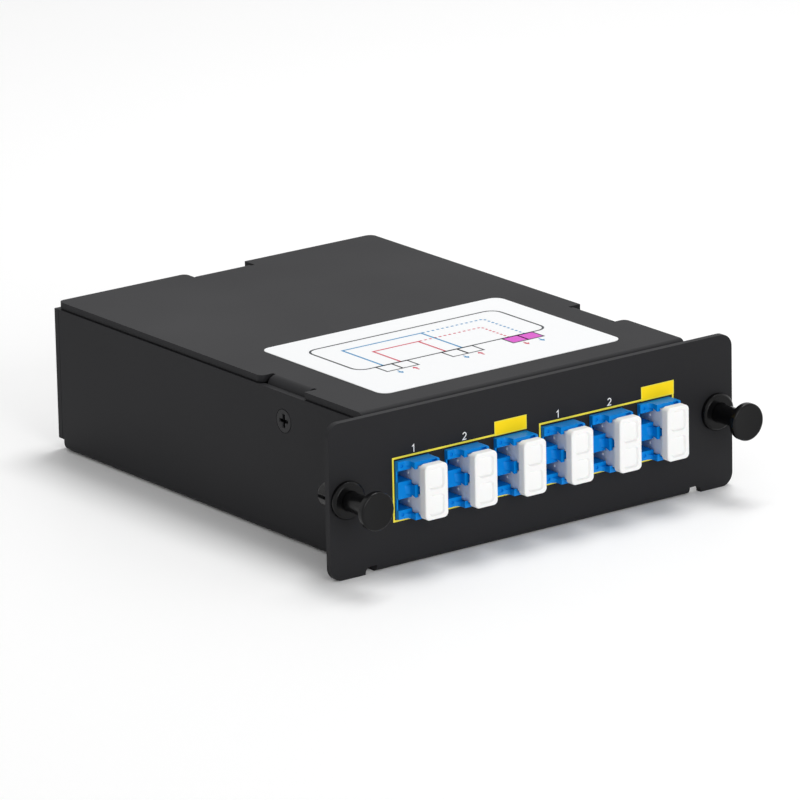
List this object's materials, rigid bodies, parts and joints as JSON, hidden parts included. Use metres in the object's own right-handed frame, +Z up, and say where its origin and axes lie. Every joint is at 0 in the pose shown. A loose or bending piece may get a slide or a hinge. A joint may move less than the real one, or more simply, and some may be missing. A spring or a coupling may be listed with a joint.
{
  "type": "fibre tap cassette",
  "caption": "Quarter-width fibre cassette with a folded steel box, duplex adapters under dust caps and push-pull panel latches.",
  "frame": {"origin": "centre of the tray's flat underside", "axes": "+Z up, +Y from the front panel to the rear wall, +X to the right seen from the front"},
  "size_m": [0.109, 0.1294, 0.0347],
  "materials": {
    "powder_coated_steel": "fine satin powder coat",
    "black_screw": "black zinc",
    "blue_plastic": "moulded",
    "white_cap": "moulded, soft sheen",
    "black_nylon": "moulded nylon",
    "spring_steel": "bright",
    "zirconia": "ground",
    "plug_plastic": "moulded",
    "guide_plastic": "moulded",
    "yellow_fibre": "tight-buffered fibre",
    "printed_film": "printed film"
  },
  "bodies": {
    "root": {"adapter_1": "blue_plastic", "adapter_2": "blue_plastic", "adapter_3": "blue_plastic", "adapter_4": "blue_plastic", "adapter_5": "blue_plastic", "adapter_6": "blue_plastic", "adapter_clip_1": "spring_steel", "adapter_clip_2": "spring_steel", "adapter_clip_3": "spring_steel", "adapter_clip_4": "spring_steel", "adapter_clip_5": "spring_steel", "adapter_clip_6": "spring_steel", "alignment_sleeves_1": "zirconia", "alignment_sleeves_2": "zirconia", "alignment_sleeves_3": "zirconia", "alignment_sleeves_4": "zirconia", "alignment_sleeves_5": "zirconia", "alignment_sleeves_6": "zirconia", "base_tray": "powder_coated_steel", "cover_screw_left": "black_screw", "cover_screw_rear": "black_screw", "cover_screw_right": "black_screw", "fibre_coil_left": "yellow_fibre", "fibre_coil_right": "yellow_fibre", "fibre_guide_left": "guide_plastic", "fibre_guide_right": "guide_plastic", "fibre_plugs_1": "plug_plastic", "fibre_plugs_2": "plug_plastic", "fibre_plugs_3": "plug_plastic", "fibre_plugs_4": "plug_plastic", "fibre_plugs_5": "plug_plastic", "fibre_plugs_6": "plug_plastic", "latch_grommet_left": "black_nylon", "latch_grommet_right": "black_nylon", "splitter_holder": "guide_plastic", "tap_splitter_1": "spring_steel", "tap_splitter_2": "spring_steel", "tap_splitter_3": "spring_steel", "tap_splitter_4": "spring_steel", "top_cover": "powder_coated_steel", "wiring_label": "printed_film"},
    "dust_cap_1": {"dust_cap_1": "white_cap"},
    "dust_cap_2": {"dust_cap_2": "white_cap"},
    "dust_cap_3": {"dust_cap_3": "white_cap"},
    "dust_cap_4": {"dust_cap_4": "white_cap"},
    "dust_cap_5": {"dust_cap_5": "white_cap"},
    "dust_cap_6": {"dust_cap_6": "white_cap"},
    "latch_plunger_left": {"latch_plunger_left": "black_nylon"},
    "latch_plunger_right": {"latch_plunger_right": "black_nylon"}
  },
  "joints": [
    {"name": "dust_cap_1_pull", "type": "slide", "parent": "root", "child": "dust_cap_1", "axis": [0, -1, 0], "range_m": [0, 0.014]},
    {"name": "dust_cap_2_pull", "type": "slide", "parent": "root", "child": "dust_cap_2", "axis": [0, -1, 0], "range_m": [0, 0.014]},
    {"name": "dust_cap_3_pull", "type": "slide", "parent": "root", "child": "dust_cap_3", "axis": [0, -1, 0], "range_m": [0, 0.014]},
    {"name": "dust_cap_4_pull", "type": "slide", "parent": "root", "child": "dust_cap_4", "axis": [0, -1, 0], "range_m": [0, 0.014]},
    {"name": "dust_cap_5_pull", "type": "slide", "parent": "root", "child": "dust_cap_5", "axis": [0, -1, 0], "range_m": [0, 0.014]},
    {"name": "dust_cap_6_pull", "type": "slide", "parent": "root", "child": "dust_cap_6", "axis": [0, -1, 0], "range_m": [0, 0.014]},
    {"name": "latch_plunger_left_push", "type": "slide", "parent": "root", "child": "latch_plunger_left", "axis": [0, 1, 0], "range_m": [0, 0.005]},
    {"name": "latch_plunger_right_push", "type": "slide", "parent": "root", "child": "latch_plunger_right", "axis": [0, 1, 0], "range_m": [0, 0.005]}
  ]
}
